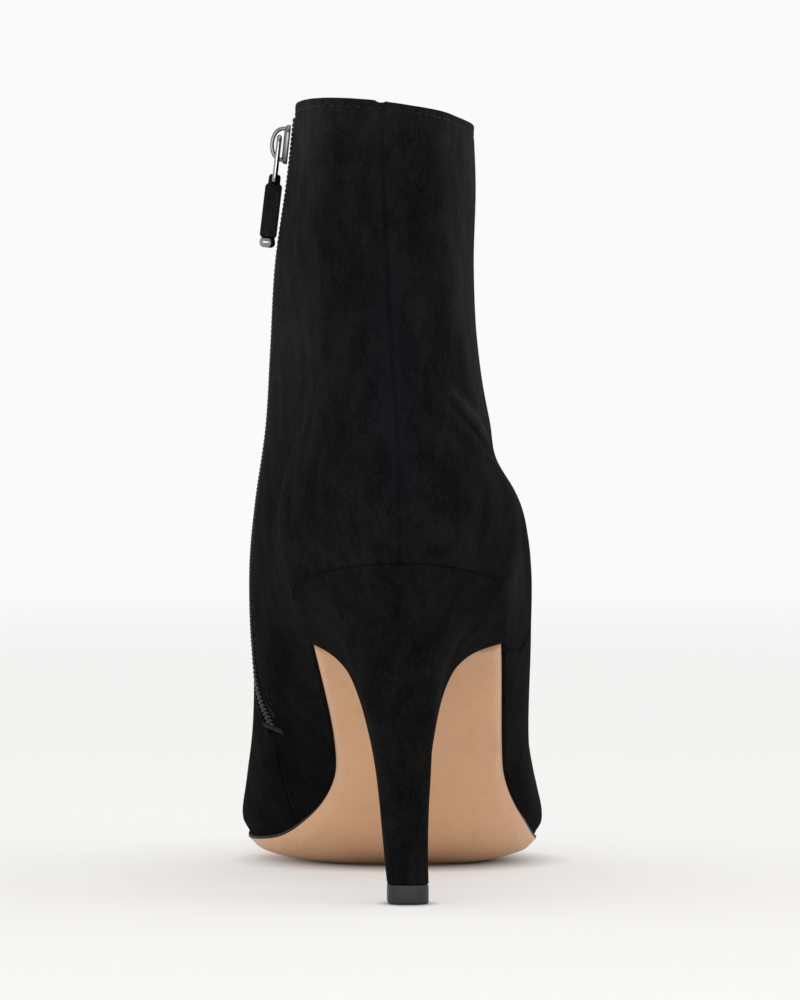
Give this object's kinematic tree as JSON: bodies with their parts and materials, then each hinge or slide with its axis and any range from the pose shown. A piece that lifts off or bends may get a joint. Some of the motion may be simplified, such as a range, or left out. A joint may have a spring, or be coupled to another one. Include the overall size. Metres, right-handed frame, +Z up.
{
  "type": "heeled ankle boot",
  "caption": "Heeled ankle boot for the right foot: hollow suede upper, inner side zip with a hinged pull, leather sole and a tall covered heel that narrows to a small tip.",
  "frame": {"origin": "middle of the heel's top piece where it stands on the floor", "axes": "+Y along the foot to the toe, +X to the outer side of the foot, +Z up"},
  "size_m": [0.0808, 0.235, 0.1997],
  "materials": {
    "black_suede": "black suede, napped",
    "tan_leather": "smooth tan leather, edge painted black",
    "sock_leather": "smooth pale leather",
    "heel_suede": "black suede over a hard core",
    "top_piece_plastic": "dark grey, satin",
    "zip_teeth": "black teeth on a woven tape",
    "slider_metal": "polished",
    "link_metal": "polished",
    "tab_suede": "black suede, napped",
    "end_metal": "polished"
  },
  "bodies": {
    "boot": {"upper": "black_suede", "outsole": "tan_leather", "insole": "sock_leather", "heel": "heel_suede", "top_piece": "top_piece_plastic", "zip_chain": "zip_teeth", "zip_slider": "slider_metal"},
    "pull": {"pull_link": "link_metal", "pull_tab": "tab_suede", "pull_end": "end_metal"}
  },
  "joints": [
    {"name": "pull_swing", "type": "hinge", "parent": "boot", "child": "pull", "pos_m": [-0.0313, 0.0367, 0.1916], "axis": [0, 1, 0], "range_deg": [0, 150]}
  ]
}
